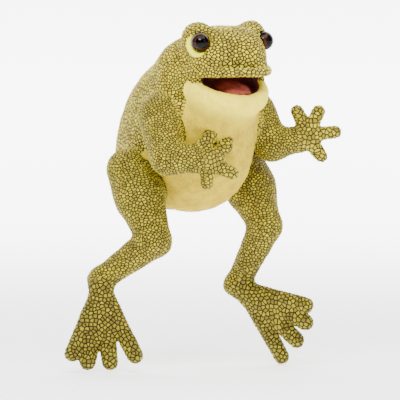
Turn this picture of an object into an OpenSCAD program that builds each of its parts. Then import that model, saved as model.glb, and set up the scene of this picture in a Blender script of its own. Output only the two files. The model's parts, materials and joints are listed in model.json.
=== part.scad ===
// Frog hand puppet: a sewn plush frog with a hand sleeve, a moving mouth, and soft stuffed limbs.
// The origin is the middle of the hand opening. The frog faces -Y, +Z is up and +X is its left.

/* [Hand opening] */
// Inner radius of the bound hem that the hand goes through
hem_r = 42; // [40:0.5:43]
// Length of the hem along the sleeve
hem_length = 12; // [10:1:14]
// Thickness of the bound hem
hem_wall = 4; // [3.5:0.25:5]
// Lean of the sleeve forward from upright, in degrees
sleeve_lean = 39; // [36:1:42]

/* [Cloth] */
// Thickness of the plush skin
skin = 2; // [1.5:0.25:2.5]
// Thickness of the sleeve, pocket and mouth linings
lining = 1; // [0.8:0.1:1.2]
// Thickness of the stiff mouth boards
board = 2; // [1.5:0.25:2]
// Thickness of the padding round the fingers
head_pad = 7; // [6:0.5:8]

/* [Body] */
// Half the width of the body
body_half = 50; // [47:0.5:50]
// Half the angle that the pale belly panel covers, in degrees
belly_half_angle = 72; // [60:12:84]

/* [Mouth] */
// Half the width of the upper lip at the corners of the mouth
lip_half = 47.5; // [46:0.5:49]
// Length of the mouth from its hinge to the tip of the upper lip
lip_reach = 62; // [60:0.5:64]
// How far the mouth is open at rest, in degrees
mouth_open = 21; // [20:0.5:24]

/* [Eyes] */
// Radius of the glossy eyes
eye_r = 9.2; // [8.5:0.1:9.4]
// Outer radius of the eyelids
hood_r = 15; // [14:0.25:15]

/* [Limbs] */
// Radius of the thigh at the hip
hip_r = 27; // [25:0.5:28]
// Radius of the arm at the shoulder
shoulder_r = 23; // [21:0.5:24]
// Gap between a joint's ball and the limb before it
joint_gap = 6; // [5:0.5:8]
// Thickness of a hand
hand_thick = 11; // [9:0.5:12]
// Length of a finger from the middle of the palm
finger_reach = 25; // [22:0.5:27]
// Thickness of a foot
foot_thick = 13; // [11:0.5:14]

/* [Hidden] */

$fn = 48;
moss = "#a39a48";
cream = "#e6d69a";
lip_yellow = "#efe08a";
maroon = "#4a1610";
rose = "#a5564a";
amber = "#6e4a14";
fill_white = "#f4f1e8";
card_grey = "#8b8478";

// Joint centres. Right is -X and left is +X.
hip_right = [-66, -57, 15];
knee_right = [-66, -100, -53];
ankle_right = [-100, -54, -94];
hip_left = [66, -57, 15];
knee_left = [66, -101, -44];
ankle_left = [56, -65, -105];
shoulder_right = [-56, -95, 70];
elbow_right = [-66, -125, 31];
wrist_right = [-36, -142, 28];
shoulder_left = [56, -95, 70];
elbow_left = [72, -103, 39];
wrist_left = [95, -117, 43];
neck = [0, -99.4, 102];
mouth_hinge = [0, -117, 108];

// Directions of the hands and feet: along the palm or sole, then across it
hand_along_right = [0.989, -0.052, 0.142];
hand_across_right = [-0.131, 0.163, 0.978];
hand_along_left = [0.963, -0.27, 0];
hand_across_left = [0, 0, 1];
foot_along_right = [-0.184, -0.345, -0.92];
foot_across_right = [0.845, -0.533, 0.031];
foot_along_left = [0.39, -0.734, -0.555];
foot_across_left = [-0.157, 0.541, -0.826];

// Body profile along the sleeve, from the hem to the neck: distance, then size
body_start = hem_length / 2;
hem_out = hem_r + hem_wall;
body_sides = [[body_start, hem_out], [20, body_half - 2], [44, body_half], [98, body_half], [157, 42]];
body_front = [[body_start, hem_out], [20, 72], [44, 91], [68, 98], [98, 91], [129, 56], [157, 52]];
body_back = [[body_start, hem_out], [44, 51.5], [98, 49], [129, 35], [157, 21]];
body_depth = [[body_start, hem_wall], [30, 12], [110, 12], [145, 6]];
// The top rim is lower in front, under the chin, than at the nape
rim_middle = 139;
rim_slope = 11;
body_steps = 18;
round_step = 12;
pad_bands = 2;
pad_angle = 60;
pad_gap = 0.005;
pad_start = 0.06;
pad_clear = 0.8;

// Levels of the mouth's layers at the closed mouth, upwards
chin_top = 103;
jaw_top = 108;
lower_lip_top = 109;
upper_lip_bottom = 110;
palate_bottom = 111;
skull_bottom = 117;
mouth_half = 41;
mouth_reach = 54;
jaw_half = 39;
jaw_reach = 52;

// The skull is a dome over the mouth and the chin a half dome under it
skull_middle = -125;
skull_half = 43;
skull_front = 48;
skull_back = 33;
skull_height = 47;
chin_half = 43;
chin_reach = 55;
chin_depth = 20;
chin_pad = 5;
dome_end = 78;

// Eyes: place and direction for the left side
eye_place = [40, -141, 147];
eye_look = [0.77, -0.638, 0];
post_r = 2.5;
post_length = 19;
washer_r = 5;
washer_thick = 2;
socket_r = hood_r + 1.2;

// Limbs are cut flat beside the body, clear of it
flank = body_half + 1;
knee_r = 18;
ankle_r = 14;
elbow_r = 16;
wrist_r = 11;
ankle_width = 24;
wrist_width = 17;

// Palm and fingers, in degrees from the direction of the palm
palm_r = 11;
finger_r = 5.2;
fingers_right = [87, 32, -43, -113];
fingers_left = [115, 66, 7, -58];
palm_right = [11, -2.6];
palm_left = [11, 4];
// Toe tips, across then along the foot, and where the toes part
toes = [[-30, 76], [-15, 84], [7, 85], [32, 79]];
toe_r = 7.5;
web_end = 0.72;

function unit(v) = v / norm(v);
function reversed(list) = [for (i = [len(list) - 1 : -1 : 0]) list[i]];
function mirrored(v) = [-v.x, v.y, v.z];

// Layers of a wall, from outside: 0 the skin's face, 1 under the skin, 2 under the padding, 3 inside the lining,
// 4 and 5 the faces of a loose pad between layers 1 and 2
function layer_depth(layer, total) =
    let (clear = min(pad_clear, (total - lining - skin) / 4))
    [0, skin, total - lining, total, skin + clear, total - lining - clear][layer];

// A point on the body: u runs along the sleeve, t goes round it from the middle of the belly
body_point = function (u, t, layer)
    let (
        along = body_start + u * (rim_middle - rim_slope * cos(t) - body_start),
        depth = layer_depth(layer, lookup(along, body_depth)),
        front = lookup(along, body_front) - depth,
        back = lookup(along, body_back) - depth
    )
    [
        (lookup(along, body_sides) - depth) * sin(t),
        (back - front) / 2 - (front + back) / 2 * cos(t),
        along
    ];

// A point on the skull: u rises from the lip to the crown, t goes round from the snout
skull_point = function (u, t, layer)
    let (
        depth = layer_depth(layer, skin + head_pad + lining),
        rise = dome_end * min(u, 1),
        reach = (cos(t) > 0 ? skull_front : skull_back) - depth
    )
    u > 1 ? [0, skull_middle, skull_bottom + skull_height - depth] :
    [
        (skull_half - depth) * cos(rise) * sin(t),
        skull_middle - reach * cos(rise) * cos(t),
        skull_bottom + (skull_height - depth) * sin(rise)
    ];

// A point on the chin: u falls from the lower lip to the bottom, t goes round from the tip
chin_point = function (u, t, layer)
    let (
        depth = layer_depth(layer, skin + chin_pad + lining),
        fall = dome_end * min(u, 1)
    )
    u > 1 ? [0, mouth_hinge.y, chin_top - chin_depth + depth] :
    [
        (chin_half - depth) * cos(fall) * sin(t),
        mouth_hinge.y - (chin_reach - depth) * cos(fall) * cos(t),
        chin_top - (chin_depth - depth) * sin(fall)
    ];

// A closed wall between two layers of a form. An open wall has side edges, and a domed one ends in a pole.
module wall(form_point, layers, rows, first, last, domed = false) {
    open = last - first < 360;
    columns = round((last - first) / round_step);
    count = open ? columns + 1 : columns;
    side_points = [
        for (layer = layers)
            for (row = [0 : rows])
                for (column = [0 : count - 1])
                    form_point(row / rows, first + column * round_step, layer)];
    poles = domed ? [for (layer = layers) form_point(2, first, layer)] : [];
    function at(side, row, column) = (side * (rows + 1) + row) * count + column % count;
    function pole(side) = len(side_points) + side;
    function quad(a, b, c, d) = [[a, b, c], [a, c, d]];
    outer = [
        for (row = [0 : rows - 1])
            for (column = [0 : columns - 1])
                each quad(at(0, row, column), at(0, row + 1, column), at(0, row + 1, column + 1),
                          at(0, row, column + 1))];
    inner = [
        for (row = [0 : rows - 1])
            for (column = [0 : columns - 1])
                each [for (face = quad(at(1, row, column), at(1, row + 1, column),
                                       at(1, row + 1, column + 1), at(1, row, column + 1))) reversed(face)]];
    start = [
        for (column = [0 : columns - 1])
            each quad(at(0, 0, column), at(0, 0, column + 1), at(1, 0, column + 1), at(1, 0, column))];
    end = domed ?
        [
            for (column = [0 : columns - 1])
                each [
                    [at(0, rows, column), pole(0), at(0, rows, column + 1)],
                    [at(1, rows, column), at(1, rows, column + 1), pole(1)]]] :
        [
            for (column = [0 : columns - 1])
                each quad(at(0, rows, column), at(1, rows, column), at(1, rows, column + 1),
                          at(0, rows, column + 1))];
    sides = !open ? [] :
        [
            for (row = [0 : rows - 1])
                each concat(
                    quad(at(0, row, 0), at(1, row, 0), at(1, row + 1, 0), at(0, row + 1, 0)),
                    quad(at(0, row, columns), at(0, row + 1, columns), at(1, row + 1, columns),
                         at(1, row, columns)))];
    pole_sides = open && domed ?
        concat(
            quad(at(0, rows, 0), at(1, rows, 0), pole(1), pole(0)),
            quad(at(0, rows, columns), pole(0), pole(1), at(1, rows, columns))) :
        [];
    polyhedron(concat(side_points, poles), concat(outer, inner, start, end, sides, pole_sides));
}

// Turns the body's own upright frame to the lean of the sleeve
module in_sleeve() {
    rotate([sleeve_lean, 0, 0]) children();
}

// Places a flat form with its length along the first direction and its width along the second
module in_frame(place, along, across) {
    x = unit(along);
    z = unit(cross(along, across));
    y = cross(z, x);
    multmatrix([[x.x, y.x, z.x, place.x], [x.y, y.y, z.y, place.y], [x.z, y.z, z.z, place.z], [0, 0, 0, 1]])
        children();
}

// Points the upright direction from one joint to the next
module toward(from, to) {
    v = to - from;
    translate(from)
        rotate([0, acos(v.z / norm(v)), atan2(v.y, v.x)])
            children();
}

// Opens the jaw from the closed mouth to its rest
module in_jaw() {
    translate(mouth_hinge)
        rotate([mouth_open, 0, 0])
            translate(-mouth_hinge)
                children();
}

module back_skin() {
    color(moss)
        in_sleeve()
            wall(body_point, [0, 1], body_steps, belly_half_angle, 360 - belly_half_angle);
}

module belly_panel() {
    color(cream)
        in_sleeve()
            wall(body_point, [0, 1], body_steps, -belly_half_angle, belly_half_angle);
}

// One of the pads that fill the body between the skin and the sleeve, a little apart
pad_point = function (band, sector)
    function (u, t, layer)
        let (up = (band + pad_gap + (1 - 2 * pad_gap) * u) / pad_bands)
        body_point(pad_start + (1 - pad_start) * up, pad_angle * (sector + pad_gap) + t * (1 - 2 * pad_gap),
                   layer);

module body_stuffing() {
    color(fill_white)
        in_sleeve()
            for (band = [0 : pad_bands - 1])
                for (sector = [0 : 360 / pad_angle - 1])
                    wall(pad_point(band, sector), [4, 5], body_steps / pad_bands, 0, pad_angle);
}

module hand_sleeve() {
    color(maroon)
        in_sleeve()
            wall(body_point, [2, 3], body_steps, 0, 360);
}

module sleeve_hem() {
    color(moss)
        in_sleeve()
            difference() {
                cylinder(h = hem_length, r = hem_out, center = true, $fn = 96);
                cylinder(h = hem_length + 2, r = hem_r, center = true, $fn = 96);
            }
}

// The rounded outline of a mouth layer, open at the hinge line
function mouth_outline(half, reach) =
    [for (t = [-90 : 7.5 : 90]) [half * sin(t), mouth_hinge.y - reach * cos(t)]];

module mouth_plate(half, reach, bottom, top) {
    translate([0, 0, bottom])
        linear_extrude(top - bottom)
            polygon(mouth_outline(half, reach));
}

module mouth_rim(half, reach, inner_half, inner_reach, bottom, top) {
    translate([0, 0, bottom])
        linear_extrude(top - bottom)
            polygon(concat(mouth_outline(half, reach), reversed(mouth_outline(inner_half, inner_reach))));
}

// Both eyes' sockets, or their posts and washers, cut from what they go through
module eye_sockets() {
    for (place = [eye_place, mirrored(eye_place)])
        translate(place)
            sphere(r = socket_r);
}

module eye_frame(place, look) {
    translate(place)
        rotate([0, 90, atan2(look.y, look.x)])
            children();
}

module eye_post() {
    translate([0, 0, -post_length])
        cylinder(h = post_length, r = post_r);
}

module eye_washer() {
    translate([0, 0, -post_length])
        difference() {
            cylinder(h = washer_thick, r = washer_r);
            translate([0, 0, -1])
                cylinder(h = washer_thick + 2, r = post_r);
        }
}

module eye_hardware_space() {
    for (side = [[eye_place, eye_look], [mirrored(eye_place), mirrored(eye_look)]])
        eye_frame(side[0], side[1])
            union() {
                eye_post();
                translate([0, 0, -post_length])
                    cylinder(h = washer_thick, r = washer_r);
            }
}

module head_skin() {
    color(moss)
        difference() {
            wall(skull_point, [0, 1], 9, 0, 360, true);
            eye_sockets();
            eye_hardware_space();
        }
}

module head_stuffing() {
    color(fill_white)
        difference() {
            wall(skull_point, [1, 2], 9, 0, 360, true);
            eye_sockets();
            eye_hardware_space();
        }
}

module finger_pocket() {
    color(maroon)
        difference() {
            wall(skull_point, [2, 3], 9, 0, 360, true);
            eye_hardware_space();
        }
}

module upper_lip() {
    color(moss)
        mouth_rim(lip_half, lip_reach, mouth_half, mouth_reach, upper_lip_bottom, skull_bottom);
}

module palate_board() {
    color(card_grey)
        mouth_plate(mouth_half, mouth_reach, palate_bottom + lining, palate_bottom + lining + board);
}

module palate_lining() {
    color(maroon)
        mouth_plate(mouth_half, mouth_reach, palate_bottom, palate_bottom + lining);
}

// Rounded lids round the eye, open where it looks
module eyelid_hood(place, look) {
    color(moss)
        eye_frame(place, look)
            difference() {
                sphere(r = hood_r);
                sphere(r = eye_r + 0.2);
                cylinder(h = hood_r + 1, r = eye_r - 0.6);
                eye_post();
            }
}

// A thin yellow patch behind and below the eye
module eye_patch(place, side) {
    color(lip_yellow)
        translate(place)
            intersection() {
                difference() {
                    sphere(r = hood_r + 1);
                    sphere(r = hood_r + 0.1);
                }
                translate([side > 0 ? -2 : -18, 1, -18])
                    cube([20, 20, 21]);
            }
}

module eye(place, look) {
    color(amber)
        eye_frame(place, look)
            union() {
                sphere(r = eye_r);
                eye_post();
            }
}

module jaw_lining() {
    color(maroon)
        in_jaw() mouth_plate(jaw_half, jaw_reach, jaw_top - lining, jaw_top);
}

module jaw_board() {
    color(card_grey)
        in_jaw() mouth_plate(jaw_half, jaw_reach, jaw_top - lining - board, jaw_top - lining);
}

module tongue() {
    color(rose)
        in_jaw()
            translate([0, mouth_hinge.y - 8, jaw_top])
                linear_extrude(palate_bottom - jaw_top - 1)
                    polygon([for (t = [0 : 10 : 350]) [13 * sin(t), -18 - 18 * cos(t)]]);
}

module lower_lip() {
    color(lip_yellow)
        in_jaw() mouth_rim(lip_half - 1.5, lip_reach - 3, jaw_half, jaw_reach, chin_top, lower_lip_top);
}

module chin_skin() {
    color(cream)
        in_jaw() wall(chin_point, [0, 1], 6, -90, 90, true);
}

module chin_stuffing() {
    color(fill_white)
        in_jaw() wall(chin_point, [1, 2], 6, -90, 90, true);
}

module thumb_pocket() {
    color(maroon)
        in_jaw() wall(chin_point, [2, 3], 6, -90, 90, true);
}

// Half the section of a limb: a ball round its joint, a swell halfway and a flat far end
function limb_outline(ball, swell, tip, length, inset) = concat(
    [for (a = [-90 : 15 : 0]) (ball - inset) * [cos(a), sin(a)]],
    [[swell - inset, length / 2], [tip - inset, length]]);

module limb_skin(from, to, stop, ball, swell, tip) {
    length = norm(to - from) - stop;
    color(moss)
        toward(from, to)
            rotate_extrude()
                polygon(concat(
                    limb_outline(ball, swell, tip, length, 0),
                    reversed(limb_outline(ball, swell, tip, length, skin))));
}

module limb_stuffing(from, to, stop, ball, swell, tip) {
    length = norm(to - from) - stop;
    color(fill_white)
        toward(from, to)
            rotate_extrude()
                polygon(concat(limb_outline(ball, swell, tip, length, skin), [[0, length]]));
}

// Keeps what stands clear of the body's flank on one side
module beside_body(side) {
    intersection() {
        children();
        translate([side > 0 ? flank : -flank - 100, -250, -150])
            cube([100, 300, 300]);
    }
}

// A straight stretch that tapers from one radius to another, with a round far end of short flats
module stretch(from, to, from_r, to_r) {
    v = unit(to - from);
    n = [-v.y, v.x];
    polygon(concat(
        [from + from_r * n, from - from_r * n],
        [for (a = [-90 : 20 : 90]) to + to_r * (cos(a) * v + sin(a) * n)]));
}

// The rounded end of a hand or foot, across its hinge line
module barrel(r, width) {
    rotate([90, 0, 0])
        cylinder(h = width, r = r, center = true);
}

module hand_outline(palm, angles, inset) {
    polygon([for (a = [0 : 15 : 345]) palm + (palm_r - inset) * [cos(a), sin(a)]]);
    stretch([0, 0], palm, wrist_r - 2 - inset, palm_r - 2 - inset);
    for (angle = angles)
        stretch(palm, palm + finger_reach * [cos(angle), sin(angle)], finger_r + 1 - inset, finger_r - inset);
}

module hand_form(palm, angles, inset) {
    union() {
        linear_extrude(hand_thick - 2 * inset, center = true)
            hand_outline(palm, angles, inset);
        barrel(wrist_r - inset, wrist_width - 2 * inset);
    }
}

// Keeps the half of a flat form on one side of its middle
module half(side) {
    intersection() {
        children();
        translate([-150, -150, side > 0 ? 0 : -100])
            cube([300, 300, 100]);
    }
}

// One of the two panels that a hand is sewn from
module hand_panel(place, along, across, palm, angles, side) {
    color(moss)
        in_frame(place, along, across)
            half(side)
                difference() {
                    hand_form(palm, angles, 0);
                    hand_form(palm, angles, skin);
                }
}

module hand_stuffing(place, along, across, palm, angles) {
    color(fill_white)
        in_frame(place, along, across)
            hand_form(palm, angles, skin);
}

module foot_outline(inset) {
    heel = [0, 0];
    for (toe = toes)
        stretch(heel, [toe.y, toe.x], 10 - inset, toe_r - inset);
    polygon(concat(
        [[10, 10 - inset], [10, inset - 10]],
        [for (toe = toes) web_end * [toe.y, toe.x] + [-inset, 0]]));
}

module foot_form(inset) {
    union() {
        linear_extrude(foot_thick - 2 * inset, center = true)
            foot_outline(inset);
        barrel(ankle_r - inset, ankle_width - 2 * inset);
    }
}

// One of the two panels that a foot is sewn from
module foot_panel(place, along, across, side) {
    color(moss)
        in_frame(place, along, across)
            half(side)
                difference() {
                    foot_form(0);
                    foot_form(skin);
                }
}

module foot_stuffing(place, along, across) {
    color(fill_white)
        in_frame(place, along, across)
            foot_form(skin);
}

// Where each limb stops, short of the ball of the next one
elbow_stop = elbow_r + joint_gap;
wrist_stop = wrist_r + joint_gap - 2;
knee_stop = knee_r + joint_gap;
ankle_stop = ankle_r + joint_gap - 1;

module upper_arm_skin(shoulder, elbow, side) {
    beside_body(side) limb_skin(shoulder, elbow, elbow_stop, shoulder_r, 21, 17);
}

module upper_arm_stuffing(shoulder, elbow, side) {
    beside_body(side) limb_stuffing(shoulder, elbow, elbow_stop, shoulder_r, 21, 17);
}

module thigh_skin(hip, knee, side) {
    beside_body(side) limb_skin(hip, knee, knee_stop, hip_r, 26, 19);
}

module thigh_stuffing(hip, knee, side) {
    beside_body(side) limb_stuffing(hip, knee, knee_stop, hip_r, 26, 19);
}

back_skin();
belly_panel();
body_stuffing();
hand_sleeve();
sleeve_hem();
head_skin();
upper_lip();
head_stuffing();
finger_pocket();
palate_board();
palate_lining();
eyelid_hood(mirrored(eye_place), mirrored(eye_look));  // eyelid_hood_right
eyelid_hood(eye_place, eye_look);  // eyelid_hood_left
eye_patch(mirrored(eye_place), -1);  // eye_patch_right
eye_patch(eye_place, 1);  // eye_patch_left
eye(mirrored(eye_place), mirrored(eye_look));  // eye_right
eye(eye_place, eye_look);  // eye_left
color(fill_white) eye_frame(mirrored(eye_place), mirrored(eye_look)) eye_washer();  // eye_washer_right
color(fill_white) eye_frame(eye_place, eye_look) eye_washer();  // eye_washer_left
jaw_lining();
jaw_board();
tongue();
lower_lip();
chin_skin();
chin_stuffing();
thumb_pocket();
upper_arm_skin(shoulder_right, elbow_right, -1);  // upper_arm_skin_right
upper_arm_stuffing(shoulder_right, elbow_right, -1);  // upper_arm_stuffing_right
limb_skin(elbow_right, wrist_right, wrist_stop, elbow_r, 15, 12);  // forearm_skin_right
limb_stuffing(elbow_right, wrist_right, wrist_stop, elbow_r, 15, 12);  // forearm_stuffing_right
hand_panel(wrist_right, hand_along_right, hand_across_right, palm_right, fingers_right, 1);  // hand_back_right
hand_panel(wrist_right, hand_along_right, hand_across_right, palm_right, fingers_right, -1);  // hand_palm_right
hand_stuffing(wrist_right, hand_along_right, hand_across_right, palm_right, fingers_right);  // hand_stuffing_right
upper_arm_skin(shoulder_left, elbow_left, 1);  // upper_arm_skin_left
upper_arm_stuffing(shoulder_left, elbow_left, 1);  // upper_arm_stuffing_left
limb_skin(elbow_left, wrist_left, wrist_stop, elbow_r, 15, 12);  // forearm_skin_left
limb_stuffing(elbow_left, wrist_left, wrist_stop, elbow_r, 15, 12);  // forearm_stuffing_left
hand_panel(wrist_left, hand_along_left, hand_across_left, palm_left, fingers_left, 1);  // hand_back_left
hand_panel(wrist_left, hand_along_left, hand_across_left, palm_left, fingers_left, -1);  // hand_palm_left
hand_stuffing(wrist_left, hand_along_left, hand_across_left, palm_left, fingers_left);  // hand_stuffing_left
thigh_skin(hip_right, knee_right, -1);  // thigh_skin_right
thigh_stuffing(hip_right, knee_right, -1);  // thigh_stuffing_right
limb_skin(knee_right, ankle_right, ankle_stop, knee_r, 17, 14);  // shin_skin_right
limb_stuffing(knee_right, ankle_right, ankle_stop, knee_r, 17, 14);  // shin_stuffing_right
foot_panel(ankle_right, foot_along_right, foot_across_right, 1);  // foot_top_right
foot_panel(ankle_right, foot_along_right, foot_across_right, -1);  // foot_sole_right
foot_stuffing(ankle_right, foot_along_right, foot_across_right);  // foot_stuffing_right
thigh_skin(hip_left, knee_left, 1);  // thigh_skin_left
thigh_stuffing(hip_left, knee_left, 1);  // thigh_stuffing_left
limb_skin(knee_left, ankle_left, ankle_stop, knee_r, 17, 14);  // shin_skin_left
limb_stuffing(knee_left, ankle_left, ankle_stop, knee_r, 17, 14);  // shin_stuffing_left
foot_panel(ankle_left, foot_along_left, foot_across_left, -1);  // foot_top_left
foot_panel(ankle_left, foot_along_left, foot_across_left, 1);  // foot_sole_left
foot_stuffing(ankle_left, foot_along_left, foot_across_left);  // foot_stuffing_left
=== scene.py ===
"""Plush frog hand puppet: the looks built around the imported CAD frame.

The body with its head is sculpted in millimetres as one distance field, and each limb as another that
blends onto it. Each is meshed once and then split into the sewn panels. A panel keeps its rest position,
so that its pattern stays with the cloth at every pose.
"""
import json
import math

import bmesh
import bpy
import numpy as np
import openvdb
from mathutils import Matrix, Vector
from mathutils.kdtree import KDTree

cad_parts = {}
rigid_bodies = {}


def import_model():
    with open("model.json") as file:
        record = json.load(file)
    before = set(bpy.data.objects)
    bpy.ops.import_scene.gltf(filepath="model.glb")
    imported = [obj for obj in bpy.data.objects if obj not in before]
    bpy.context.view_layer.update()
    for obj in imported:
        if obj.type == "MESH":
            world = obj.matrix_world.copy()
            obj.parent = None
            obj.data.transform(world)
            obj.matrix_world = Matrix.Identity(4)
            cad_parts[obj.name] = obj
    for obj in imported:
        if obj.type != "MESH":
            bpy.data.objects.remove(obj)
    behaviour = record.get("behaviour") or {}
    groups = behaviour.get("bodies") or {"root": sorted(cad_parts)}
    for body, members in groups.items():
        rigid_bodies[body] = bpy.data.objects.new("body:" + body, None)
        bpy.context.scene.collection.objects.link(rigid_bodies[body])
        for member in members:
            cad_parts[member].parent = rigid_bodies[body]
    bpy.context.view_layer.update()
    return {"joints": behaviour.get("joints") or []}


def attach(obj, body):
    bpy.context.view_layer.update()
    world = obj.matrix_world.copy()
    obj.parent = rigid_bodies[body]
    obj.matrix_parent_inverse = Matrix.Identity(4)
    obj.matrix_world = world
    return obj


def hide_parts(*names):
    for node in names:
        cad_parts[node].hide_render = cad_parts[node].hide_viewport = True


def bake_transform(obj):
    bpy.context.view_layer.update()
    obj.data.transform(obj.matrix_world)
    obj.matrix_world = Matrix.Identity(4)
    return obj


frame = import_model()

MM = 0.001
JOINT = {j["name"]: 1000 * np.array(j["pos_m"], np.float32) for j in frame["joints"]}
SIDES = {"right": -1, "left": 1}


def unit(v):
    v = np.array(v, np.float32)
    return v / np.linalg.norm(v)


def length(v):
    return np.sqrt((v * v).sum(-1))


# ---------------------------------------------------------------- forms: distance functions with a box

def smooth_min(a, b, k):
    h = np.clip(0.5 + 0.5 * (b - a) / k, 0, 1)
    return b + (a - b) * h - k * h * (1 - h)


def smooth_max(a, b, k):
    return -smooth_min(-a, -b, k)


class Form:
    def __init__(self, distance, low, high):
        self.distance = distance
        self.low = np.array(low, np.float32)
        self.high = np.array(high, np.float32)


def tube(a, b, ra, rb, squash=None):
    """A round tapering limb from a to b. squash is (direction, factor): thinner that way."""
    a, b = np.array(a, np.float32), np.array(b, np.float32)
    ba = b - a

    def distance(p):
        t = np.clip(((p - a) @ ba) / (ba @ ba), 0, 1)
        off = p - a - t[..., None] * ba
        if squash is not None:
            across = off @ squash[0]
            off = off + (across * (1 / squash[1] - 1))[..., None] * squash[0]
        return length(off) - (ra + t * (rb - ra))
    r = max(ra, rb)
    return Form(distance, np.minimum(a, b) - r, np.maximum(a, b) + r)


def ball(centre, radii, axes=None):
    """An ellipsoid. axes holds its three directions as rows."""
    centre = np.array(centre, np.float32)
    radii = np.array(radii if np.ndim(radii) else [radii] * 3, np.float32)
    turn = np.eye(3, dtype=np.float32) if axes is None else np.array(axes, np.float32)

    def distance(p):
        q = (p - centre) @ turn.T
        k0 = length(q / radii)
        k1 = length(q / radii ** 2) + 1e-6
        return k0 * (k0 - 1) / k1
    reach = np.sqrt(((turn * radii[:, None]) ** 2).sum(0))
    return Form(distance, centre - reach, centre + reach)


def blob(parts):
    """A smooth union of (form, k) pairs."""
    low = np.min([f.low for f, _ in parts], 0)
    high = np.max([f.high for f, _ in parts], 0)

    def distance(p):
        d = parts[0][0].distance(p)
        for form, k in parts[1:]:
            d = smooth_min(d, form.distance(p), k)
        return d
    return Form(distance, low, high)


class Clay:
    """A distance field on a grid, built up by smooth unions and cuts."""

    def __init__(self, low, high, step):
        self.low, self.step = np.array(low, np.float32), step
        self.count = np.ceil((np.array(high) - self.low) / step).astype(int) + 1
        self.field = np.full(self.count, 30, np.float32)

    def block(self, form, margin):
        first = np.clip(np.floor((form.low - margin - self.low) / self.step).astype(int), 0, self.count)
        last = np.clip(np.ceil((form.high + margin - self.low) / self.step).astype(int) + 1, 0, self.count)
        axes = [self.low[i] + self.step * np.arange(first[i], last[i], dtype=np.float32) for i in range(3)]
        p = np.stack(np.meshgrid(*axes, indexing="ij"), -1).astype(np.float32)
        return tuple(slice(a, b) for a, b in zip(first, last)), form.distance(p)

    def add(self, form, k):
        where, d = self.block(form, 2 * k + 6)
        self.field[where] = smooth_min(self.field[where], d, k)

    def cut(self, form, k):
        where, d = self.block(form, 2 * k + 6)
        self.field[where] = smooth_max(self.field[where], -d, k)

    def mesh(self):
        band = 3 * self.step
        grid = openvdb.FloatGrid(band)
        grid.copyFromArray(np.clip(self.field, -band, band))
        grid.gridClass = openvdb.GridClass.LEVEL_SET
        points, quads = grid.convertToQuads(0.0)
        return points * self.step + self.low, quads.astype(np.int32)[:, ::-1]


# ---------------------------------------------------------------- the frog's places and sizes, in millimetres

LEAN = math.radians(39)
ALONG = np.array([0, -math.sin(LEAN), math.cos(LEAN)], np.float32)
FRONT = np.array([0, -math.cos(LEAN), -math.sin(LEAN)], np.float32)
# Body profile along the sleeve: distance from the hem, half width, belly and back
PROFILE = np.array([
    [-6, 43, 43, 43], [6, 46, 48, 46], [20, 53, 74, 55], [44, 59, 91, 62], [68, 61, 98, 65],
    [98, 60, 92, 61], [129, 54, 60, 46], [150, 47, 50, 33], [175, 40, 40, 20]], np.float32)
BODY_TOP = 152
HINGE = JOINT["jaw_hinge"]
NECK = JOINT["head_nod"]
OPEN = math.radians(21)
EYE = np.array([36.7, -139.8, 144.3], np.float32)
EYE_LOOK = unit([0.77, -0.638, 0])
EYE_R = 9.6
LIP_Z = 114.8

# Toe tips, across and along the foot from the ankle
TOES = [(-30, 76), (-15, 85), (7, 86), (32, 80)]
# Palm centre, then each finger's root and tip, along and across the hand from the wrist
HAND = {
    "right": ((9, -2), [((-2, 12), (12.5, 20)), ((12, 2), (30.5, 9)),
                        ((12, -7), (30, -18.5)), ((4, -8), (-1, -23.5))]),
    "left": ((11, 4), [((6, 13), (-1.5, 28.5)), ((14, 13), (21.5, 27.5)),
                       ((18, 5), (39, 7)), ((15, -5), (24.5, -17))]),
}
# Directions along and across each hand and foot
HAND_WAYS = {"right": ([0.989, -0.052, 0.142], [-0.131, 0.163, 0.978]),
             "left": ([0.963, -0.27, 0], [0, 0, 1])}
FOOT_WAYS = {"right": ([-0.184, -0.345, -0.92], [0.845, -0.533, 0.031]),
             "left": ([0.39, -0.734, -0.555], [-0.157, 0.541, -0.826])}


def smooth_profile():
    """The profile's columns on a fine scale, rounded between its stations."""
    at = np.arange(-30, 200, 1.0)
    kernel = np.exp(-0.5 * (np.arange(-18, 19) / 6.0) ** 2)
    kernel /= kernel.sum()
    columns = []
    for i in (1, 2, 3):
        raw = np.interp(at, PROFILE[:, 0], PROFILE[:, i])
        columns.append(np.convolve(np.pad(raw, 18, mode="edge"), kernel, "valid"))
    return at, columns


PROFILE_AT, (HALF, BELLY, BACK) = smooth_profile()


def body_coordinates(p):
    return p[..., 0], p @ FRONT, p @ ALONG


def ring_at(along, inset=0.0):
    half = np.interp(along, PROFILE_AT, HALF) - inset
    belly = np.interp(along, PROFILE_AT, BELLY) - inset
    back = np.interp(along, PROFILE_AT, BACK) - inset
    return half, belly, back


def body_distance(p, inset, first, last):
    x, front, along = body_coordinates(p)
    half, belly, back = ring_at(along, inset)
    middle, reach = (belly - back) / 2, (belly + back) / 2
    rho = np.sqrt((x / half) ** 2 + ((front - middle) / reach) ** 2) + 1e-6
    slope = np.sqrt((x / half ** 2) ** 2 + ((front - middle) / reach ** 2) ** 2) / rho + 1e-6
    side = np.clip((rho - 1) / slope, -40, 40)
    return smooth_max(smooth_max(side, along - last, 6), first - along, 3)


def body_form(inset, first, last):
    return Form(lambda p: body_distance(p, inset, first, last), [-66, -172, -66], [66, 58, 162])


def skull_distance(p):
    """A boxy dome with a steep face, flat between the eyes."""
    q = p - np.array([0, -127, 120], np.float32)
    reach = np.where(q[..., 1] < 0, 36.5, 42)
    x, y = np.abs(q[..., 0]) / 41.5, np.abs(q[..., 1]) / reach
    z = np.where(q[..., 2] > 0, q[..., 2] / 39.5, -q[..., 2] / 30)
    round_in_plan = (x ** 2.3 + y ** 2.3 + 1e-9) ** (1 / 2.3)
    rho = (round_in_plan ** 2.7 + z ** 2.7 + 1e-9) ** (1 / 2.7)
    return (rho - 1) * 38


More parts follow.
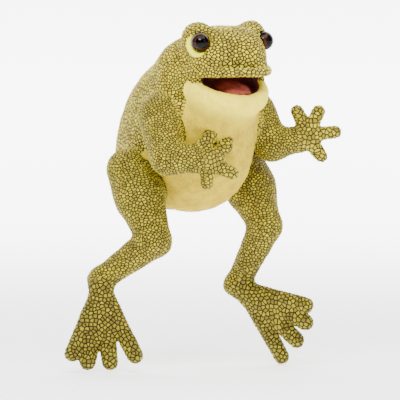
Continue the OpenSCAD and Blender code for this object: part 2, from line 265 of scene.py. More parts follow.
def rim_distance(p, half, reach, level, radius, flat):
    """A roll along the front half of an ellipse about the hinge line."""
    x, y, z = p[..., 0], p[..., 1] - HINGE[1], p[..., 2] - level
    ahead = np.minimum(y, 0)
    rho = np.sqrt((x / half) ** 2 + (ahead / reach) ** 2) + 1e-6
    slope = np.sqrt((x / half ** 2) ** 2 + (ahead / reach ** 2) ** 2) / rho + 1e-6
    out = np.clip((rho - 1) / slope, -60, 60)
    return np.sqrt(out ** 2 + np.maximum(y, 0) ** 2 + (z / flat) ** 2) - radius


JAW_TURN = np.array([[1, 0, 0], [0, math.cos(OPEN), -math.sin(OPEN)], [0, math.sin(OPEN), math.cos(OPEN)]],
                    np.float32)


def closed(p):
    """Points of the open jaw, taken back to the closed mouth."""
    return (p - HINGE) @ JAW_TURN + HINGE


def in_jaw(form):
    corners = np.array([[x, y, z] for x in (form.low[0], form.high[0]) for y in (form.low[1], form.high[1])
                        for z in (form.low[2], form.high[2])], np.float32)
    turned = (corners - HINGE) @ JAW_TURN.T + HINGE
    return Form(lambda p: form.distance(closed(p)), turned.min(0), turned.max(0))


def mirrored(v, side):
    return np.array([v[0] * side, v[1], v[2]], np.float32)


def mouth_opening(p):
    """The wedge between the jaws, closed at the hinge line."""
    above = p[..., 2] - (LIP_Z - 2.6)
    below = 107.5 - closed(p)[..., 2]
    cheek = p[..., 1] - HINGE[1] + 19
    return smooth_max(smooth_max(above, below, 1.5), cheek, 4)


def mouth_hollow(p):
    """The deeper room inside the lips."""
    q = closed(p)
    x, y = p[..., 0] / 35, (p[..., 1] - HINGE[1]) / 43
    plan = (np.sqrt(x ** 2 + np.minimum(y, 0) ** 2 + (np.maximum(y, 0) * 4) ** 2) - 1) * 30
    return smooth_max(smooth_max(plan, p[..., 2] - 116, 4), 101 - q[..., 2], 4)


# ---------------------------------------------------------------- groups of forms

def limb_frame(ways):
    along, across = unit(ways[0]), np.array(ways[1], np.float32)
    across = unit(across - (across @ along) * along)
    return along, across, np.cross(along, across)


def hand_parts(side):
    wrist = JOINT[side + "_wrist"]
    along, across, face = limb_frame(HAND_WAYS[side])
    palm, fingers = HAND[side]

    def place(spot):
        return wrist + spot[0] * along + spot[1] * across
    parts = [(tube(wrist, place(palm), 12, 13.5, (face, 0.72)), 5)]
    for root, tip in fingers:
        parts.append((tube(place(root), place(tip), 7.2, 6.5, (face, 0.9)), 3.0))
    return parts


def foot_parts(side):
    ankle = JOINT[side + "_ankle"]
    along, across, face = limb_frame(FOOT_WAYS[side])
    up = face if side == "right" else -face
    parts = [(tube(ankle, ankle + 30 * along, 12.5, 12, (face, 0.85)), 6)]
    tips = [ankle + toe[0] * across + toe[1] * along for toe in TOES]
    for tip in tips:
        root = ankle + 8 * along + 0.12 * (tip - ankle)
        parts.append((tube(root, tip, 9, 8.1, (face, 0.82)), 3.5))
    for a, b in zip(tips, tips[1:]):
        web = ankle + 0.66 * ((a + b) / 2 - ankle)
        parts.append((tube(ankle + 14 * along, web, 9, 7.5, (face, 0.6)), 4))
    parts.append((ball(ankle + 8 * up - 1 * along, 9), 6))
    return parts


def arm_parts(side):
    shoulder, elbow, wrist = (JOINT[f"{side}_{name}"] for name in ("shoulder", "elbow", "wrist"))
    return [(tube(shoulder, elbow, 22, 17), 8), (tube(elbow, wrist, 17, 12.5), 6)] + hand_parts(side)


def leg_parts(side):
    hip, knee, ankle = (JOINT[f"{side}_{name}"] for name in ("hip", "knee", "ankle"))
    out = 4 * SIDES[side] * np.array([1, 0, 0], np.float32)
    thick = hip + 0.36 * (knee - hip)
    return [(tube(hip + out, thick, 21, 24.5), 8), (tube(thick, knee, 24.5, 16.5), 8),
            (tube(knee, ankle, 16.5, 11.5), 5)] + foot_parts(side)


CORE = blob([
    (body_form(0, -1, BODY_TOP), 1),
    (Form(skull_distance, [-46, -170, 88], [46, -84, 166]), 14),
    (tube([0, -104, 66], [0, -122, 90], 43, 37), 16),
    (tube([-24, -92, 118], [24, -92, 118], 26, 26), 18),
    (ball(JOINT["right_shoulder"] + [6, 1, -1], 23.5), 14),
    (ball(JOINT["left_shoulder"] + [-6, 1, -1], 23.5), 14),
    (ball(JOINT["right_hip"] + [8, 6, 2], 20), 12),
    (ball(JOINT["left_hip"] + [-8, 6, 2], 20), 12),
])
HOODS = [ball(mirrored([31.5, -126, 146], s), [15.5, 17.5, 18]) for s in SIDES.values()]
JAW = in_jaw(ball([0, HINGE[1] + 2, 99], [45, 57, 33]))
UPPER_LIP = Form(lambda p: rim_distance(p, 42, 56.5, LIP_Z, 4.9, 0.95), [-50, -182, 105], [50, -108, 126])
LOWER_LIP = in_jaw(Form(lambda p: rim_distance(p, 38.5, 52, 101, 8.5, 0.98),
                        [-50, -178, 92], [50, -108, 114]))
OPENING = Form(mouth_opening, [-70, -190, 70], [70, -100, 122])
HOLLOW = Form(mouth_hollow, [-42, -172, 76], [42, -104, 122])
SOCKETS = [ball(mirrored(EYE + 0.8 * EYE_LOOK, s), EYE_R + 0.3) for s in SIDES.values()]
CAVITY = body_form(10, -12, 128)
LIMBS = {f"arm_{side}": blob(arm_parts(side)) for side in SIDES}
LIMBS.update({f"leg_{side}": blob(leg_parts(side)) for side in SIDES})
FILLET = 3.5


def sculpt_core(step):
    clay = Clay([-75, -190, -60], [75, 60, 180], step)
    clay.add(CORE, 1)
    for hood in HOODS:
        clay.add(hood, 7)
    clay.add(JAW, 6)
    clay.cut(OPENING, 1.5)
    clay.add(UPPER_LIP, 4)
    clay.add(LOWER_LIP, 7)
    outside = clay.field.copy()
    clay.cut(HOLLOW, 2)
    for socket in SOCKETS:
        clay.cut(socket, 0.8)
    clay.cut(CAVITY, 2)
    return clay, outside


def sculpt_limb(limb, core, solid_core):
    """The limb, with a fillet onto the body, closed inside it."""
    clay = Clay(core.low, core.low + core.step * (core.count - 1), core.step)
    first = np.minimum(core.low, limb.low - 8)
    last = np.maximum(core.low + core.step * (core.count - 1), limb.high + 8)
    lead = np.ceil((core.low - first) / core.step).astype(int)
    tail = np.ceil((last - core.low) / core.step).astype(int) + 1 - core.count
    clay.low = core.low - lead * core.step
    clay.field = np.pad(solid_core, [(a, b) for a, b in zip(lead, tail)], constant_values=30)
    clay.count = np.array(clay.field.shape)
    where, own = clay.block(limb, FILLET + 6)
    near = smooth_min(clay.field[where], own, FILLET)
    clay.field[:] = 30
    clay.field[where] = np.maximum(near, own - FILLET - 0.3)
    return clay


# ---------------------------------------------------------------- meshes with their regions

def to_mesh(name, points, quads):
    """A mesh from points in millimetres."""
    mesh = bpy.data.meshes.new(name)
    mesh.vertices.add(len(points))
    mesh.vertices.foreach_set("co", (points * MM).astype(np.float32).ravel())
    mesh.loops.add(4 * len(quads))
    mesh.loops.foreach_set("vertex_index", quads.astype(np.int32).ravel())
    mesh.polygons.add(len(quads))
    mesh.polygons.foreach_set("loop_start", np.arange(0, 4 * len(quads), 4, dtype=np.int32))
    mesh.update(calc_edges=True)
    mesh.polygons.foreach_set("use_smooth", np.ones(len(quads), bool))
    return mesh


def from_mesh(mesh):
    points = np.zeros(3 * len(mesh.vertices), np.float32)
    mesh.vertices.foreach_get("co", points)
    normals = np.zeros(3 * len(mesh.vertices), np.float32)
    mesh.vertices.foreach_get("normal", normals)
    quads = np.zeros(4 * len(mesh.polygons), np.int32)
    mesh.polygons.foreach_get("vertices", quads)
    labels = np.zeros(len(mesh.polygons), np.int32)
    mesh.polygons.foreach_get("material_index", labels)
    return points.reshape(-1, 3) / MM, normals.reshape(-1, 3), quads.reshape(-1, 4), labels


def evaluated(thing):
    """The mesh of an object with its modifiers applied."""
    graph = bpy.context.evaluated_depsgraph_get()
    return bpy.data.meshes.new_from_object(thing.evaluated_get(graph), depsgraph=graph)


def gradient(function, p, h=0.5):
    steps = np.eye(3, dtype=np.float32) * h
    return np.stack([(function(p + d) - function(p - d)) / (2 * h) for d in steps], -1)


def label_faces(points, quads, regions):
    """Each face takes the first region whose function is negative at its centre, or else the number after."""
    centre = points[quads].mean(1)
    labels = np.full(len(quads), len(regions), np.int32)
    for i in reversed(range(len(regions))):
        labels[regions[i](centre) < 0] = i
    return labels


def label_span(count, quads, labels):
    """The lowest and highest label among the faces round each point."""
    low = np.full(count, 999, np.int32)
    high = np.full(count, -1, np.int32)
    for corner in range(4):
        np.minimum.at(low, quads[:, corner], labels)
        np.maximum.at(high, quads[:, corner], labels)
    return low, high


def straighten(points, quads, labels, regions, limit):
    """Moves the points between two regions onto the line where the first one's function is zero."""
    low, high = label_span(len(points), quads, labels)
    for i, region in enumerate(regions):
        which = np.flatnonzero((low == i) & (high > i))
        if not len(which):
            continue
        start = points[which].copy()
        p = start.copy()
        for _ in range(3):
            g = gradient(region, p)
            p = p - 0.8 * region(p)[:, None] * g / np.maximum((g * g).sum(-1), 0.2)[:, None]
        move = p - start
        far = np.maximum(length(move) / limit, 1)
        points[which] = start + move / far[:, None]


def refine(name, points, quads, labels):
    """One level of subdivision, which keeps the regions."""
    mesh = to_mesh(name, points, quads)
    mesh.polygons.foreach_set("material_index", labels)
    thing = bpy.data.objects.new(name, mesh)
    bpy.context.scene.collection.objects.link(thing)
    modifier = thing.modifiers.new("smooth", "SUBSURF")
    modifier.levels = 1
    fine = evaluated(thing)
    result = from_mesh(fine)
    bpy.data.objects.remove(thing)
    bpy.data.meshes.remove(fine)
    bpy.data.meshes.remove(mesh)
    return result


def seam_depth(count, quads, cloth, rings=3):
    """0 on a seam between two cloths, rising to 1 a few rings away."""
    low, high = label_span(count, quads, cloth)
    depth = np.where(low != high, 0, rings).astype(np.float32)
    for ring in range(1, rings):
        nearest = depth[quads].min(1)
        touched = quads[nearest == ring - 1].ravel()
        depth[touched] = np.minimum(depth[touched], ring)
    return depth / rings


# ---------------------------------------------------------------- the scale pattern

RANDOM = np.random.default_rng(7)


def tree_of(seeds):
    tree = KDTree(len(seeds))
    for i, seed in enumerate(seeds):
        tree.insert(seed, i)
    tree.balance()
    return tree


def nearest(seeds, p, count):
    """The numbers of the closest seeds of each point, closest first."""
    tree = tree_of(seeds)
    return np.array([[hit[1] for hit in tree.find_n(q, count)] for q in p], np.int32)


def scatter(p, apart=0.75, rounds=2):
    """Seeds spread evenly over the points, about one unit apart."""
    p = p[RANDOM.permutation(len(p))]
    seeds = p[np.unique(np.floor(p).astype(np.int32), axis=0, return_index=True)[1]]
    tree, keep = tree_of(seeds), np.ones(len(seeds), bool)
    for i, seed in enumerate(seeds):
        if keep[i]:
            for hit in tree.find_range(seed, apart):
                if hit[1] != i:
                    keep[hit[1]] = False
    seeds, sample = seeds[keep], p[:max(len(p) // 3, 1000)]
    for _ in range(rounds):
        owner = nearest(seeds, sample, 1)[:, 0]
        held = np.bincount(owner, minlength=len(seeds))
        sums = np.stack([np.bincount(owner, sample[:, i], len(seeds)) for i in range(3)], -1)
        seeds = np.where(held[:, None] > 2, sums / np.maximum(held, 1)[:, None], seeds).astype(np.float32)
    return seeds


def scale_pattern(places, quads, chosen, size):
    """Scales over the chosen faces: three seeds for each face, and each point's distance to a line."""
    used = np.unique(quads[chosen])
    seeds = scatter(places[used])
    close = nearest(seeds, places[quads[chosen]].mean(1), 3)
    corners = np.zeros((3, len(quads), 3), np.float32)
    for i in range(3):
        corners[i][chosen] = seeds[close[:, i]]
    near = nearest(seeds, places[used], 2)
    first, second = seeds[near[:, 0]], seeds[near[:, 1]]
    lead = length(places[used] - second) ** 2 - length(places[used] - first) ** 2
    gap = lead / (2 * length(second - first) + 1e-6)
    edge = np.zeros(len(places), np.float32)
    edge[used] = gap * size
    return corners, edge


# ---------------------------------------------------------------- sewn panels

SEAM_SINK = 0.8


def piece(name, points, normals, quads, keep, seam, cells, look, relief, pattern=None, glow=None):
    """One sewn panel: its faces, pattern attributes, relief and material."""
    chosen = quads[keep]
    used, flat = np.unique(chosen, return_inverse=True)
    chosen = flat.reshape(-1, 4)
    own, out, mask = points[used], normals[used], seam[used]
    sunk = own - out * (SEAM_SINK * (1 - mask) ** 2)[:, None]
    mesh = to_mesh(name, sunk, chosen)
    for key, value in (("rest", own), ("cells", cells(own)), ("out", out)):
        attribute = mesh.attributes.new(key, "FLOAT_VECTOR", "POINT")
        attribute.data.foreach_set("vector", value.astype(np.float32).ravel())
    attribute = mesh.attributes.new("seam", "FLOAT", "POINT")
    attribute.data.foreach_set("value", mask.astype(np.float32))
    if glow is not None:
        attribute = mesh.attributes.new("glow", "FLOAT", "POINT")
        attribute.data.foreach_set("value", glow[used])
    if pattern is not None:
        for key, seeds in zip(("seed_a", "seed_b", "seed_c"), pattern[0]):
            attribute = mesh.attributes.new(key, "FLOAT_VECTOR", "FACE")
            attribute.data.foreach_set("vector", seeds[keep].ravel())
        attribute = mesh.attributes.new("edge", "FLOAT", "POINT")
        attribute.data.foreach_set("value", pattern[1][used])
    thing = bpy.data.objects.new(name, mesh)
    bpy.context.scene.collection.objects.link(thing)
    modifier = thing.modifiers.new("relief", "NODES")
    modifier.node_group = relief
    raised = evaluated(thing)
    thing.modifiers.clear()
    thing.data = raised
    bpy.data.meshes.remove(mesh)
    raised.name = name
    thing.data.materials.clear()
    thing.data.materials.append(look)
    return thing


# ---------------------------------------------------------------- node helpers

class Nodes:
    """Short calls for building a node tree."""

    def __init__(self, tree):
        self.tree = tree

    def add(self, kind, values=(), **settings):
        node = self.tree.nodes.new(kind)
        for key, value in settings.items():
            setattr(node, key, value)
        for key, value in dict(values).items():
            self.feed(node, key, value)
        return node

    def feed(self, node, key, value):
        socket = node.inputs[key]
        if isinstance(value, bpy.types.NodeSocket):
            self.tree.links.new(value, socket)
        else:
            socket.default_value = value

    def math(self, operation, a, b=0.0, clamp=False):
        return self.add("ShaderNodeMath", {0: a, 1: b}, operation=operation, use_clamp=clamp).outputs[0]

    def step(self, value, low, high, to_low=0.0, to_high=1.0):
        """A smooth rise from to_low at low to to_high at high."""
        node = self.add("ShaderNodeMapRange", {"Value": value, "From Min": low, "From Max": high,
                                               "To Min": to_low, "To Max": to_high},
                        interpolation_type="SMOOTHSTEP")
        return node.outputs["Result"]

    def mix(self, factor, a, b):
        node = self.add("ShaderNodeMix", data_type="RGBA")
        for index, value in ((0, factor), (6, a), (7, b)):
            self.feed(node, index, value)
        return node.outputs[2]

    def noise(self, vector, scale, detail=2.0, rough=0.5):
        return self.add("ShaderNodeTexNoise", {"Vector": vector, "Scale": scale, "Detail": detail,
                                               "Roughness": rough}).outputs["Fac"]


def colour(code):
    """A linear colour from the six digits of an sRGB one."""
    parts = [int(code[i:i + 2], 16) / 255 for i in (0, 2, 4)]
    return [c / 12.92 if c <= 0.04045 else ((c + 0.055) / 1.055) ** 2.4 for c in parts] + [1]


# ---------------------------------------------------------------- reliefs that raise the cloth

def relief_group(name, height):
    """height builds the height in millimetres from the nodes, the rest position and the distance to a line."""
    tree = bpy.data.node_groups.new(name, "GeometryNodeTree")
    tree.interface.new_socket("Geometry", in_out="INPUT", socket_type="NodeSocketGeometry")
    tree.interface.new_socket("Geometry", in_out="OUTPUT", socket_type="NodeSocketGeometry")
    nodes = Nodes(tree)

    def named(key, kind="FLOAT_VECTOR"):
        node = nodes.add("GeometryNodeInputNamedAttribute", {"Name": key}, data_type=kind)
        return node.outputs["Attribute"]
    raised = height(nodes, named("rest"), named("edge", "FLOAT"))
    amount = nodes.math("MULTIPLY", nodes.math("MULTIPLY", raised, named("seam", "FLOAT")), MM)
    offset = nodes.add("ShaderNodeVectorMath", {0: named("out"), "Scale": amount}, operation="SCALE")
    source = nodes.add("NodeGroupInput").outputs[0]
    moved = nodes.add("GeometryNodeSetPosition", {"Geometry": source, "Offset": offset.outputs[0]})
    nodes.feed(nodes.add("NodeGroupOutput"), 0, moved.outputs[0])
    return tree


def scale_height(nodes, rest, edge):
    scale = nodes.step(edge, 0.1, 1.1, -0.4, 0.4)
    wave = nodes.math("MULTIPLY", nodes.math("SUBTRACT", nodes.noise(rest, 0.06), 0.5), 2.4)
    return nodes.math("ADD", scale, wave)


def plush_height(nodes, rest, edge):
    folds = nodes.math("MULTIPLY", nodes.math("SUBTRACT", nodes.noise(rest, 0.05, 2.0), 0.5), 4.0)
    tufts = nodes.math("MULTIPLY", nodes.math("SUBTRACT", nodes.noise(rest, 0.45, 3.0, 0.6), 0.5), 0.8)
    return nodes.math("ADD", folds, tufts)


def lining_height(nodes, rest, edge):
    return nodes.math("MULTIPLY", nodes.math("SUBTRACT", nodes.noise(rest, 0.09, 2.0), 0.5), 2.0)


# ---------------------------------------------------------------- materials

def new_material(name):
    material = bpy.data.materials.new(name)
    material.use_nodes = True
    nodes = Nodes(material.node_tree)
    shader = material.node_tree.nodes["Principled BSDF"]
    return material, nodes, shader


def attribute(nodes, key):
    node = nodes.add("ShaderNodeAttribute", attribute_name=key)
    return node.outputs["Vector"]


def bump(nodes, shader, height, strength, distance):
    node = nodes.add("ShaderNodeBump", {"Height": height, "Strength": strength, "Distance": distance})
    nodes.feed(shader, "Normal", node.outputs["Normal"])


def scale_lines(nodes, size):
    """The distance to the nearest line between scales, in millimetres, and a shade for each scale."""
    here = attribute(nodes, "cells")
    seeds = [attribute(nodes, key) for key in ("seed_a", "seed_b", "seed_c")]

    def vector(operation, a, b, wanted=0):
        return nodes.add("ShaderNodeVectorMath", {0: a, 1: b}, operation=operation).outputs[wanted]
    squares = []
    for seed in seeds:
        off = vector("SUBTRACT", here, seed)
        squares.append(vector("DOT_PRODUCT", off, off, "Value"))

    def lead(i, j):
        apart = nodes.math("ADD", vector("DISTANCE", seeds[i], seeds[j], "Value"), 1e-4)
        gap = nodes.math("SUBTRACT", squares[j], squares[i])
        return nodes.math("DIVIDE", gap, nodes.math("MULTIPLY", apart, 2.0))
    ab, ac, bc = lead(0, 1), lead(0, 2), lead(1, 2)
    ba, ca, cb = (nodes.math("MULTIPLY", v, -1.0) for v in (ab, ac, bc))
    inside = [nodes.math("MINIMUM", ab, ac), nodes.math("MINIMUM", ba, bc), nodes.math("MINIMUM", ca, cb)]
    edge = nodes.math("MAXIMUM", nodes.math("MAXIMUM", inside[0], inside[1]), inside[2])
    own = nodes.mix(nodes.math("GREATER_THAN", inside[1], 0.0), seeds[0], seeds[1])
    own = nodes.mix(nodes.math("GREATER_THAN", inside[2], 0.0), own, seeds[2])
    shade = nodes.add("ShaderNodeTexWhiteNoise", {"Vector": own}, noise_dimensions="3D").outputs["Value"]
    return nodes.math("MULTIPLY", edge, size), shade


def scale_material(name, size, depth, light, middle, dark, line):
    """Moss plush printed with scales: pale centres, olive rims and dark lines between them.

    depth darkens the whole colour as painted shade: the limbs are painted darker than the head, for the shade
    that falls on them.
    """
    material, nodes, shader = new_material(name)
    rest = attribute(nodes, "rest")
    edge, tint = scale_lines(nodes, size)
    mottle = nodes.noise(rest, 0.05, 3.0)
    grain = nodes.noise(rest, 1.4, 3.0, 0.7)
    mixed = nodes.math("ADD", nodes.math("MULTIPLY", tint, 0.7), nodes.math("MULTIPLY", mottle, 0.6))
    body = nodes.mix(nodes.step(mixed, 0.3, 0.95), colour(middle), colour(light))
    body = nodes.mix(nodes.step(edge, 0.2, 1.2, 0.75, 0.0), body, colour(dark))
    body = nodes.mix(nodes.step(grain, 0.35, 0.75, 0.0, 0.3), body, colour(dark))
    wobble = nodes.math("ADD", edge, nodes.math("MULTIPLY", nodes.math("SUBTRACT", grain, 0.5), 0.35))
    shade = nodes.mix(nodes.step(wobble, 0.2, 0.68), colour(line), body)
    # Darkens the whole colour by depth: painted shade
    shade = nodes.add("ShaderNodeVectorMath", {0: shade, "Scale": depth}, operation="SCALE").outputs[0]
    nodes.feed(shader, "Base Color", shade)
    nodes.feed(shader, "Roughness", 0.62)
    nodes.feed(shader, "Sheen Weight", 0.03)
    nodes.feed(shader, "Sheen Tint", colour("e8dc6a"))
    nodes.feed(shader, "Specular IOR Level", 0.2)
    height = nodes.math("ADD", nodes.step(edge, 0.1, 1.0), nodes.math("MULTIPLY", grain, 0.35))
    bump(nodes, shader, height, 0.7, 0.0004)
    return material


def plush_material(name, light, dark, sheen=0.2, lip=None):
    """Short brushed pile: soft mottling, fine fibres and a pale sheen.

    lip is the colour that the cloth takes beside the lower lip.
    """
    material, nodes, shader = new_material(name)
    rest = attribute(nodes, "rest")
    brushed = nodes.add("ShaderNodeVectorMath", {0: rest, 1: (1.0, 1.0, 0.35)}, operation="MULTIPLY")
    pile = nodes.noise(brushed.outputs[0], 0.9, 4.0, 0.7)
    patch = nodes.noise(rest, 0.11, 3.0)
    blend = nodes.math("ADD", nodes.math("MULTIPLY", pile, 0.6), nodes.math("MULTIPLY", patch, 0.4))
    cloth = nodes.mix(nodes.step(blend, 0.36, 0.62), colour(dark), colour(light))
    if lip is not None:
        glow = nodes.add("ShaderNodeAttribute", attribute_name="glow").outputs["Fac"]
        cloth = nodes.mix(glow, cloth, colour(lip))
    nodes.feed(shader, "Base Color", cloth)
    nodes.feed(shader, "Roughness", 0.85)
    nodes.feed(shader, "Sheen Weight", sheen)
    nodes.feed(shader, "Sheen Roughness", 0.5)
    nodes.feed(shader, "Sheen Tint", colour(light))
    nodes.feed(shader, "Specular IOR Level", 0.15)
    bump(nodes, shader, pile, 0.8, 0.0009)
    return material


def woven_material(name, light, dark, size):
    """A plain weave."""
    material, nodes, shader = new_material(name)
    rest = attribute(nodes, "rest")
    split = nodes.add("ShaderNodeSeparateXYZ", {"Vector": rest})
    waves = [nodes.math("SINE", nodes.math("MULTIPLY", split.outputs[i], 6.283 / size)) for i in range(3)]
    weave = nodes.math("ADD", nodes.math("MULTIPLY", waves[0], waves[1]),
                       nodes.math("MULTIPLY", waves[1], waves[2]))
    tone = nodes.math("ADD", nodes.math("MULTIPLY", weave, 0.2), nodes.noise(rest, 0.3, 3.0))
    nodes.feed(shader, "Base Color", nodes.mix(nodes.step(tone, 0.2, 0.8), colour(dark), colour(light)))
    nodes.feed(shader, "Roughness", 0.8)
    nodes.feed(shader, "Sheen Weight", 0.25)
    bump(nodes, shader, weave, 0.4, 0.0003)
    return material


def eye_material(name, place, look):
    """A black pupil in a brown iris ring, under a clear gloss coat."""
    material, nodes, shader = new_material(name)
    middle = tuple(float(x) for x in place)
    way = nodes.add("ShaderNodeVectorMath", {0: attribute(nodes, "rest"), 1: middle}, operation="SUBTRACT")
    straight = nodes.add("ShaderNodeVectorMath", {0: way.outputs[0]}, operation="NORMALIZE")
    facing = nodes.add("ShaderNodeVectorMath", {0: straight.outputs[0], 1: tuple(float(x) for x in look)},
                       operation="DOT_PRODUCT").outputs["Value"]
    flecks = nodes.noise(straight.outputs[0], 9.0, 3.0)
    iris = nodes.mix(nodes.step(flecks, 0.3, 0.7), colour("1d0b05"), colour("4a2312"))
    inner = nodes.mix(nodes.step(facing, 0.72, 0.77), iris, colour("020101"))
    ring = nodes.mix(nodes.step(facing, 0.46, 0.58), colour("0a0503"), inner)
    nodes.feed(shader, "Base Color", ring)
    nodes.feed(shader, "Roughness", 0.3)
    nodes.feed(shader, "Specular IOR Level", 0.0)
    nodes.feed(shader, "Coat Weight", 0.8)
    nodes.feed(shader, "Coat IOR", 1.25)
    nodes.feed(shader, "Coat Roughness", 0.015)
    return material


# ---------------------------------------------------------------- the limbs: joints, bending zones and panels

def chain(side, names, ways, starts, turn):
    """The three bends of a limb: (parent body, child body, centre, direction, start, end).

    turn holds the weights of the first bone at the elbow or knee, and of the second at the wrist or ankle.
    """
    centres = [JOINT[f"{side}_{name}"] for name in names["joints"]]
    first, second = unit(centres[1] - centres[0]), unit(centres[2] - centres[1])
    last = unit(ways[0])
    directions = [first, unit(first + turn[0] * second), unit(turn[1] * second + last)]
    bodies = ["torso"] + [f"{part}_{side}" for part in names["bodies"]]
    return [(bodies[i], bodies[i + 1], centres[i], directions[i], *starts[i]) for i in range(3)]


ARM = {"joints": ("shoulder", "elbow", "wrist"), "bodies": ("upper_arm", "forearm", "hand")}
LEG = {"joints": ("hip", "knee", "ankle"), "bodies": ("thigh", "shin", "foot")}
BENDS = {
    "arm_right": chain("right", ARM, HAND_WAYS["right"], [(-8, 8), (-6, 6), (-14, -4)], (3, 0)),
    "arm_left": chain("left", ARM, HAND_WAYS["left"], [(-8, 8), (-6, 6), (-14, -6)], (2, 0)),
    "leg_right": chain("right", LEG, FOOT_WAYS["right"], [(-8, 12), (-9, 9), (-9, 9)], (1, 1)),
    "leg_left": chain("left", LEG, FOOT_WAYS["left"], [(-8, 12), (-9, 9), (-9, 9)], (1, 1)),
}


LIMB_WIDE = 17


def handover(first, second):
    """Negative where a limb's points belong to the first bend's panel, positive for the second's.

    The panels meet square to the bone, half way between the two bending zones at their widest.
    """
    bone = second[2] - first[2]
    size = float(length(bone))
    bone = bone / size
    reaches = []
    for bend, limit in ((first, first[5]), (second, -second[4])):
        straight = float(bone @ bend[3])
        reaches.append((limit + LIMB_WIDE * math.sqrt(max(1 - straight ** 2, 0))) / straight)
    split = (reaches[0] + size - reaches[1]) / 2
    return lambda p: (p - first[2]) @ bone - split


def bend_piece(thing):
    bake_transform(thing)


def scale_space(size, stretch=None):
    """Pattern coordinates in scales. stretch is (direction, factor): longer scales that way."""
    def places(p):
        q = p / size
        if stretch is not None:
            q = q + ((q @ stretch[0]) * (1 / stretch[1] - 1))[:, None] * stretch[0]
        return q
    return places


# Grid spacing of the sculpted forms, in millimetres
STEP = 1.7

MOSS_TONES = ("e6d42c", "a8941a", "5e500e", "171203")
# Scale sizes in millimetres, for a limb and for its hand or foot
SCALE_SIZES = {"arm": (2.8, 3.6), "leg": (3.1, 3.5)}
CORE_SIZE = 2.9
# Painted shade: how far the colour at each scale size is darkened, the limbs, hands and feet far more than the
# head
PAINTED_SHADE = {CORE_SIZE: 0.88, 2.8: 0.66, 3.6: 0.64, 3.1: 0.62, 3.5: 0.43}
MOSS = {size: scale_material(f"moss_scales_{round(10 * size)}", size, depth, *MOSS_TONES)
        for size, depth in PAINTED_SHADE.items()}
CREAM = plush_material("cream_plush", "d2b724", "ae8f1c", 0.08, "fae83c")
YELLOW = plush_material("yellow_plush", "fdea3c", "ecd030", 0.12)
PATCH = plush_material("patch_plush", "ffff34", "f4ee28", 0.15)
LINING = woven_material("mouth_lining", "9c3420", "60180e", 0.9)
SLEEVE = woven_material("sleeve_lining", "6e5420", "3c2c0c", 0.9)
HEM = woven_material("hem_binding", "7c6c1c", "4a400e", 1.1)
TONGUE = plush_material("tongue_plush", "b85a48", "84362c", 0.3)

SCALES = relief_group("scale_relief", scale_height)
PLUSH = relief_group("plush_relief", plush_height)
SMOOTH = relief_group("lining_relief", lining_height)

core_clay, solid_core = sculpt_core(STEP)

CAD_LIMB = {
    "arm": [["upper_arm_skin", "upper_arm_stuffing"], ["forearm_skin", "forearm_stuffing"],
            ["hand_back", "hand_palm", "hand_stuffing"]],
    "leg": [["thigh_skin", "thigh_stuffing"], ["shin_skin", "shin_stuffing"],
            ["foot_top", "foot_sole", "foot_stuffing"]],
}
PANELS = {"arm": ["upper_arm", "forearm", "wrist", "hand"], "leg": ["thigh", "shin", "ankle", "foot"]}

# How far the seams of a limb sink, from 0 for fully
LIMB_SEAM = 0.45


def tip_region(kind, side, last):
    """Negative over the hand or foot, which are cut from cloth with larger scales."""
    cuff = -3.0 if kind == "arm" else 3.0
    outward = unit((HAND_WAYS if kind == "arm" else FOOT_WAYS)[side][0])
    return lambda p: np.maximum(cuff - (p - last[2]) @ outward, -13 - (p - last[2]) @ last[3])


def dress_limb(limb, bends):
    """Sculpts one limb and splits it into four panels."""
    kind, side = limb.split("_")
    points, quads = sculpt_limb(LIMBS[limb], core_clay, solid_core).mesh()
    regions = [tip_region(kind, side, bends[2]), handover(bends[0], bends[1]), handover(bends[1], bends[2])]
    labels = label_faces(points, quads, regions)
    straighten(points, quads, labels, regions[:1], 1.2 * STEP)
    points, normals, quads, labels = refine(limb, points, quads, labels)
    seam = np.maximum(seam_depth(len(points), quads, np.where(labels == 0, 1, 0)), LIMB_SEAM)
    way = unit(bends[1][2] - bends[0][2])
    patterns = []
    for size, tip in zip(SCALE_SIZES[kind], (False, True)):
        place = scale_space(size, None if tip else (way, 0.8))
        pattern = scale_pattern(place(points), quads, (labels == 0) == tip, size)
        patterns.append((place, MOSS[size], pattern))
    for label, panel in ((1, 0), (2, 1), (3, 2), (0, 3)):
        place, look, pattern = patterns[1 if label == 0 else 0]
        thing = piece(f"plush_{PANELS[kind][panel]}_{side}", points, normals, quads, labels == label, seam,
                      place, look, SCALES, pattern)
        bend_piece(thing)
        if panel != 2:
            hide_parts(*[f"{node}_{side}" for node in CAD_LIMB[kind][min(panel, 2)]])


for limb, bends in BENDS.items():
    dress_limb(limb, bends)

# ---------------------------------------------------------------- the body, head and jaw

NECK_WAY = np.array([0, -0.8, 0.6], np.float32)
NECK_START, NECK_END = 128, 146


def cream_edge(along):
    """How far forward the pale cloth starts, at each distance along the sleeve."""
    return np.interp(along, [10, 40, 65, 85, 100, 115, 125, 135, 155, 175],
                     [10, 14, 30, 44, 55, 60, 53, 46, 34, 26])


def in_cream(p):
    along, front = p @ ALONG, p @ FRONT
    below = closed(p)[..., 2] - 107
    return np.maximum(np.maximum(cream_edge(along) - front, below), 11 - along)


def in_patch(side):
    """The crescent round an eye, widest behind and below it."""
    place, look = mirrored(EYE, side), mirrored(EYE_LOOK, side)
    back = mirrored(unit([0.638, 0.77, 0]), side)

    def patch(p):
        q = p - place
        a, b = q @ back, q[..., 2]
        turn = np.arctan2(b, a) + math.radians(38)
        width = 8.5 * np.maximum(np.cos(1.05 * turn), 0)
        return np.maximum(np.sqrt(a * a + b * b) - 9.0 - width, -11 - q @ look)
    return patch


